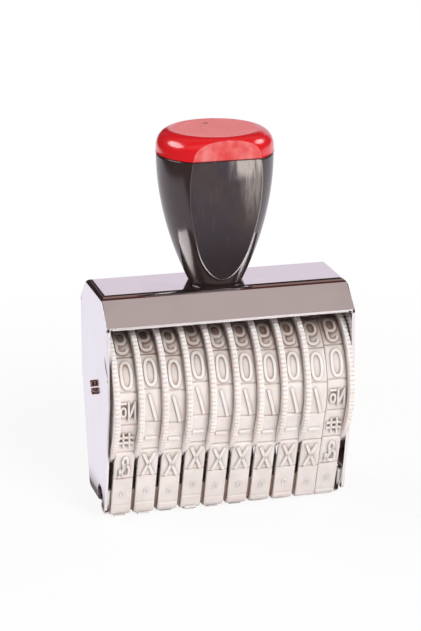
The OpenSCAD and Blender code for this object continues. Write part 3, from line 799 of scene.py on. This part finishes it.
# The knurled rim: a rounded rectangle spun about the axle. The grooves between its teeth are
# deepest at the rim's outer side and run out towards the wheel's own band.
def rimSurface(shape, look, start, towards):
    columns = look["teeth"] * look["perTooth"]
    angles = np.arange(columns) * 2 * pi / columns
    profile = rounded([(0, look["rimIn"]), (0, look["rim"]), (look["rimWide"], look["rim"]),
                       (look["rimWide"], look["rimIn"])], look["rimRound"], 5)
    outwards = np.interp(profile[:, 0], [0.2, look["rimWide"] - 0.2], [1, 0.3])
    profile[:, 0] = start + towards * profile[:, 0]
    phase = np.abs((np.arange(columns) / look["perTooth"] + 0.5) % 1 - 0.5) * 2
    cut = (1 - np.clip(phase / 0.55, 0, 1)) ** 1.2 * look["tooth"] + 0.1 * (1 - phase) ** 2
    share = np.clip((profile[:, 1] - look["rim"] + 1) / 0.8, 0, 1) * outwards
    points = spun(profile, angles, -cut[:, None] * share)
    flank = np.clip((look["rim"] - 0.4 - profile[:, 1]) / 1.8, 0, 1)
    # Painted shade in the grooves between the teeth, and on the flank, darker under the brow.
    paintedShade = np.maximum(cut[:, None] / look["tooth"] * share * 0.42,
                      flank * (0.06 + 0.8 * browShade(points[..., 2])))
    shape.grid(points, wrapRows=True, wrapCols=True, mark=paintedShade)


# Hub, web and drum as one turned profile, with straight ribs between hub and drum.
def spoolSurface(shape, look, start, towards, length):
    webLow = (look["rimWide"] - look["web"]) / 2
    webHigh = webLow + look["web"]
    hub, drum, bore, inner = look["hub"], look["drum"], look["bore"], look["drum"] - look["wall"]
    rim = look["rimIn"] + 0.4
    profile = rounded([(0, bore), (0, hub), (webLow, hub), (webLow, rim), (webHigh, rim), (webHigh, drum),
                       (length, drum), (length, inner), (webHigh, inner), (webHigh, hub), (length, hub),
                       (length, bore)], look["round"])
    profile[:, 0] = start + towards * profile[:, 0]
    angles = np.arange(look["around"]) * 2 * pi / look["around"]
    shape.grid(spun(profile, angles), wrapRows=True, wrapCols=True)
    sunk, half = 0.1, look["ribWide"] / 2
    ribLow, ribHigh = webHigh - sunk, webHigh + (length - webHigh) * look["ribLong"]
    section = rounded([(ribLow, -half), (ribLow, half), (ribHigh, half), (ribHigh, -half)], look["ribRound"])
    along = np.array([hub - 0.3, inner + 0.3])
    x = start + towards * np.broadcast_to(section[:, 0], (2, len(section)))
    for turn in np.arange(look["ribs"]) * 2 * pi / look["ribs"]:
        y = along[:, None] * cos(turn) - section[:, 1] * sin(turn)
        z = axleHeight + along[:, None] * sin(turn) + section[:, 1] * cos(turn)
        shape.grid(np.stack([x, y, z], -1), wrapCols=True, capStart=True, capEnd=True)


for i in range(1, bandCount + 1):
    low, high = (corner.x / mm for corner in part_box(f"wheel_{i}"))
    start, towards = (low, 1) if i < bandCount else (high, -1)  # the last wheel is turned round
    shape = Shape()
    rimSurface(shape, wheelLook, start, towards)
    spoolSurface(shape, wheelLook, start, towards, high - low)
    piece = shape.build(f"thumbWheel{i}", wheelFinish, f"thumb_wheel_{i}", pieceLook["turnedSmooth"])
    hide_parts(f"wheel_{i}")
print("stamp: wheels made")


handleLook = {
    "footRadius": 10, "radius": 21.7, "tall": 48.8,
    "facetOut": 17.6, "facetLean": 7.4,  # the facets' distance at the cap, and lean in degrees
    "scoop": (0.75, 10, 8),  # depth, height and spread of the facets' hollow near the foot
    "edge": 0.6, "edgeGrows": (1.2, 25),  # rounding beside a facet, its growth at the foot, and up to where
    "bead": 0.12, "facetMark": 0.7,  # how far the foot's bead stands out, and a facet's mark
    "capWall": 2.5, "capTall": 8.7, "capFlat": 15.6, "lip": 0.2, "lipTall": 0.6,
}
handleFoot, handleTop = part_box("handle_body")
handleX, panelTop = (handleFoot.x + handleTop.x) / 2 / mm, handleFoot.z / mm


# One ring of the handle: a circle cut by the front and rear facets at the distance reach, with
# corners rounded by arcs that touch the circle and the facet. The same number of points lies on
# each facet, corner and side in every ring. The weight is 1 on a facet and 0 on a side.
def facetRing(radius, reach, edge, flats=22, corner=5, sides=70):
    edge = min(edge, radius * 0.3)
    hold = inner = radius - edge
    cornerX = swing = 0
    if radius > reach + 1e-4:
        inner = reach - edge
        cornerX = sqrt(hold ** 2 - inner ** 2)
        swing = atan2(cornerX, inner)
    else:
        reach = radius
    t = np.linspace(-1, 1, flats + 1)
    flat = np.stack([t * cornerX, np.full(len(t), -reach)], -1)
    a = np.linspace(0, swing, corner + 1)
    bend = np.stack([cornerX + edge * np.sin(a), -inner - edge * np.cos(a)], -1)
    a = np.linspace(swing, pi - swing, sides + 1)[1:]
    side = np.stack([radius * np.sin(a), -radius * np.cos(a)], -1)
    front = np.concatenate([flat, bend[1:], side, bend[-2::-1] * (1, -1)])
    weight = np.concatenate([np.ones(flats + 1), np.linspace(1, 0, corner + 2)[1:-1], np.zeros(sides + 1),
                             np.linspace(0, 1, corner + 1)[1:]])[:len(front)]
    if cornerX < 0.3:
        weight = weight * 0
    return np.concatenate([front, -front[1:-1]]), np.concatenate([weight, weight[1:-1]])


# Rings of the radii and heights given, above the base. The facets lean out with the height, less a
# bell curve that hollows them near the foot.
def handleRings(shape, look, rings, base):
    slope = tan(radians(look["facetLean"]))
    deepest, middle, spread = look["scoop"]
    growth, upTo = look["edgeGrows"]
    rows, marks = [], []
    for radius, z, satin in rings:
        up = z + base
        paintedPocketShade = deepest * exp(-((up - middle) / spread) ** 2)
        reach = look["facetOut"] + (up - look["tall"]) * slope - paintedPocketShade
        ring, weight = facetRing(radius, reach, look["edge"] * (1 + growth * max(0, 1 - up / upTo)))
        rows.append(np.column_stack([handleX + ring[:, 0], ring[:, 1], np.full(len(ring), panelTop + up)]))
        marks.append(np.maximum(weight * look["facetMark"], satin))
    shape.grid(np.stack(rows), wrapCols=True, capStart=True, capEnd=True, mark=np.stack(marks))


# Radius, height and mark of the body's rings: a bead at the foot, then a radius that grows with a
# parabola, and a small rounding under the cap.
def bodyRings(look):
    radius, foot, tall, bead = look["radius"], look["footRadius"], look["tall"], look["bead"]
    z = np.concatenate([np.linspace(0.9, 12, 60), np.linspace(12, tall - 0.35, 90)[1:]])
    r = radius - (radius - foot) * (1 - z / tall) ** 2
    return [(8.6, 0, 0), (foot - 0.05, 0, 0), (foot + bead - 0.02, 0.12, 0), (foot + bead, 0.4, 0),
            (foot + bead, 0.62, 0), *((a, b, 0) for a, b in zip(r, z)),
            (radius - 0.15, tall - 0.12, 0), (radius - 0.6, tall - 0.02, 0), (radius - 3, tall, 0)]


# The cap's rings: a lip, a straight wall, a quarter ellipse over the shoulder, and the flat top.
def capRings(look):
    radius, lip, lipTall = look["radius"], look["lip"], look["lipTall"]
    top, wall, flat = look["capTall"], look["capWall"], look["capFlat"]
    t = np.linspace(0, pi / 2, 46)[1:]
    shoulder = zip(flat + (radius - flat) * np.cos(t), wall + (top - wall) * np.sin(t))
    return [(radius - 3, 0.12, 0), (radius + lip - 0.3, 0.12, 0), (radius + lip, 0.4, 0),
            (radius + lip, lipTall - 0.25, 0), (radius + lip * 0.55, lipTall, 0),
            (radius + 0.03, lipTall + 0.3, 0), *((radius, z, 0) for z in np.linspace(lipTall + 0.6, wall, 8)),
            *((r, z, 0) for r, z in shoulder),
            (flat - 0.25, top - 0.01, 0.4), (flat - 0.45, top - 0.05, 1), (flat - 0.8, top - 0.05, 1),
            *((r, top - 0.05, 1) for r in np.linspace(flat - 2, 1.5, 9))]


for name, node, rings, base, finish, slotName in (
        ("handleBody", "handle_body", bodyRings(handleLook), 0, blackFinish, "handle_black"),
        ("handleCap", "handle_cap", capRings(handleLook), handleLook["tall"], redFinish, "cap_red")):
    shape = Shape()
    handleRings(shape, handleLook, rings, base)
    piece = shape.build(name, finish, "root", pieceLook["turnedSmooth"])
    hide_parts(node)
print("stamp: handle made")


dressed = {  # node: (name, finish, material slot, rounding of the edges)
    "frame": ("frameSheet", sheetFinish, "frame_sheet", 0.045),
    "bridge": ("bandBridge", bridgeFinish, "bridge_plastic", 0.15),
    "handle_screw": ("handleScrew", steelFinish, "steel", 0.15),
    "handle_washer": ("handleWasher", steelFinish, "steel", 0.1),
    "handle_nut": ("handleNut", steelFinish, "steel", 0.1),
    "axle": ("axleRod", axleFinish, "steel", 0.08),
}
for node, (name, finish, slotName, edge) in dressed.items():
    dressedCopy(node, name, finish, edge)
print("stamp: frame and fasteners dressed")


cameraSet = {"place": (-227.14, -844.97, 341.36), "azimuth": 14.9, "elevation": 17.02, "roll": -0.2,
             "lens": 139.3, "sensor": 36, "clip": (0.02, 20)}


# The way at an azimuth from +Y towards +X and at an elevation.
def wayTo(azimuth, elevation):
    az, el = radians(azimuth), radians(elevation)
    return Vector((sin(az) * cos(el), cos(az) * cos(el), sin(el)))


def makeCamera(look):
    camera = newObject("camera", bpy.data.cameras.new("camera"))
    camera.data.sensor_width, camera.data.lens = look["sensor"], look["lens"]
    camera.data.clip_start, camera.data.clip_end = look["clip"]
    back, right = wayTo(180 + look["azimuth"], look["elevation"]), wayTo(90 + look["azimuth"], 0)
    roll = Matrix.Rotation(radians(look["roll"]), 3, "Z")
    turn = Matrix((right, back.cross(right), back)).transposed() @ roll
    camera.matrix_world = Matrix.Translation(Vector(look["place"]) * mm) @ turn.to_4x4()
    bpy.context.scene.camera = camera


lampSet = {
    # name: (azimuth from straight behind, elevation, distance, width, height, power, colour, in reflections)
    "left": (-70, 35, 0.9, 0.6, 0.36, 3.8, (1, 0.94, 0.93), True),
    "right": (79, 33, 0.95, 0.34, 0.3, 1.4, (1, 0.985, 0.98), True),
    "key": (166, 34, 1.3, 0.5, 0.5, 13.2, (0.99, 0.985, 0.98), False),
}


def makeLamps():
    aim = Vector((0, 0, 0.07))
    for name, (azimuth, elevation, distance, width, tall, power, colour, mirrored) in lampSet.items():
        lamp = newObject(name, bpy.data.lights.new(name, "AREA"))
        lamp.data.shape, lamp.data.size, lamp.data.size_y = "ELLIPSE", width, tall
        lamp.data.energy, lamp.data.color = power, colour
        lamp.visible_glossy = mirrored
        way = wayTo(azimuth, elevation)
        lamp.location = aim + way * distance
        lamp.rotation_euler = (-way).to_track_quat("-Z", "Y").to_euler()


roomLook = {
    "ambient": (0.25, 0.222, 0.212),  # light on the object from all round
    "dark": (0.03, 0.019, 0.017),  # the room in reflections, and what stands out in it:
    "shelf": (0.17, 0.105, 0.1), "beam": (0.27, 0.175, 0.16), "lintel": (0.085, 0.03, 0.028),
    "glow": (0.115, 0.08, 0.092), "ceiling": (0.515, 0.43, 0.41), "panel": (0.775, 0.7, 0.78),
}


# The room: even light on the object and white behind it. Reflections see it dark, with a ceiling
# high in front, shelves at the sides, a beam high behind, a dim lintel overhead, a faint glow low
# behind, and a white panel low behind at the right.
def makeRoom(look):
    world = bpy.data.worlds.new("room")
    bpy.context.scene.world = world
    f = Finish(world=world)
    camera, glossy = f.rays()
    x, y, z = f.parts(f.node("TexCoord", out="Generated"))
    slant = x / y.atLeast(0.05)
    room = f.layers(
        look["dark"], look,
        shelf=z.between(0.5, 0.66, 0.05) * y.below(0.05, 0.05),
        beam=y.between(0.22, 0.6, 0.05) * z.step(0.45, 0.6),
        lintel=y.between(-0.12, 0.18, 0.05) * z.step(0.8, 0.88),
        glow=slant.between(-0.2, -0.03, 0.06) * y.step(0.3, 0.5) * (1 - z.step(0.4, 0.46)),
        ceiling=y.below(-0.14, 0.015) * z.step(0.5, 0.6),
        panel=slant.step(0.1, 0.16) * (1 - slant.step(0.8, 1.1)) * y.step(0, 0.05) * (1 - z.step(0.33, 0.36)))
    seen = f.tint(camera, f.tint(glossy, look["ambient"], room), (1, 1, 1))
    back = f.node("Background", None, {"Color": seen, "Strength": 1})
    f.end(back, "OutputWorld")


floorLook = {
    "half": 4000, "height": -0.05,  # of the sheet, in millimetres
    "colour": (0.9, 0.88, 0.88), "mirrored": (0.92, 0.885, 0.955),
    "bleach": 0.88,  # share of plain white that the camera sees near the stamp
    "underX": (-0.052, 0.052), "underY": (-0.024, 0.06),  # the part under the stamp, where reflections see a painted shadow, in metres
    "paleX": -0.39, "paleY": -0.08,  # reflections see the floor pale beyond these
}


# A pale floor that the camera sees as nearly white, with the stamp's soft shadow. Reflections see a
# painted shadow under the stamp, see it dark in front of it and far to its left, and pale elsewhere.
def makeFloor(look):
    f = Finish("paleFloor")
    camera, glossy = f.rays()
    x, y, _ = f.parts(f.place())
    # Painted shadow under the stamp, for reflections only.
    under = x.between(*look["underX"], 0.004) * y.between(*look["underY"], 0.01)
    pale = x.above(look["paleX"], 0.03) * y.above(look["paleY"], 0.02) * (1 - under)
    bleach = look["bleach"] + (1 - look["bleach"]) * ((x * x + y * y) ** 0.5).step(0.1, 0.34)
    lit = f.node("BsdfDiffuse", None, {"Color": look["colour"]})
    white = f.node("Emission", None, {"Color": (1, 1, 1), "Strength": 1})
    seenBack = f.tint(pale, roomLook["dark"], look["mirrored"])
    mirrored = f.node("Emission", None, {"Color": seenBack, "Strength": 1})
    seen = f.node("MixShader", None, {0: camera * bleach, 1: lit, 2: white})
    finish = f.end(f.node("MixShader", None, {0: glossy, 1: seen, 2: mirrored}))
    shape = Shape()
    t = np.linspace(-1, 1, 3) * look["half"]
    x, y = np.meshgrid(t, t, indexing="ij")
    shape.grid(np.stack([x, y, np.full_like(x, look["height"])], -1))
    floor = newObject("floor", shape.toMesh("floor"))
    floor.data.materials.append(finish)


makeCamera(cameraSet)
makeLamps()
makeRoom(roomLook)
makeFloor(floorLook)
bpy.context.scene.view_settings.view_transform = "Standard"
print("stamp: stage made")
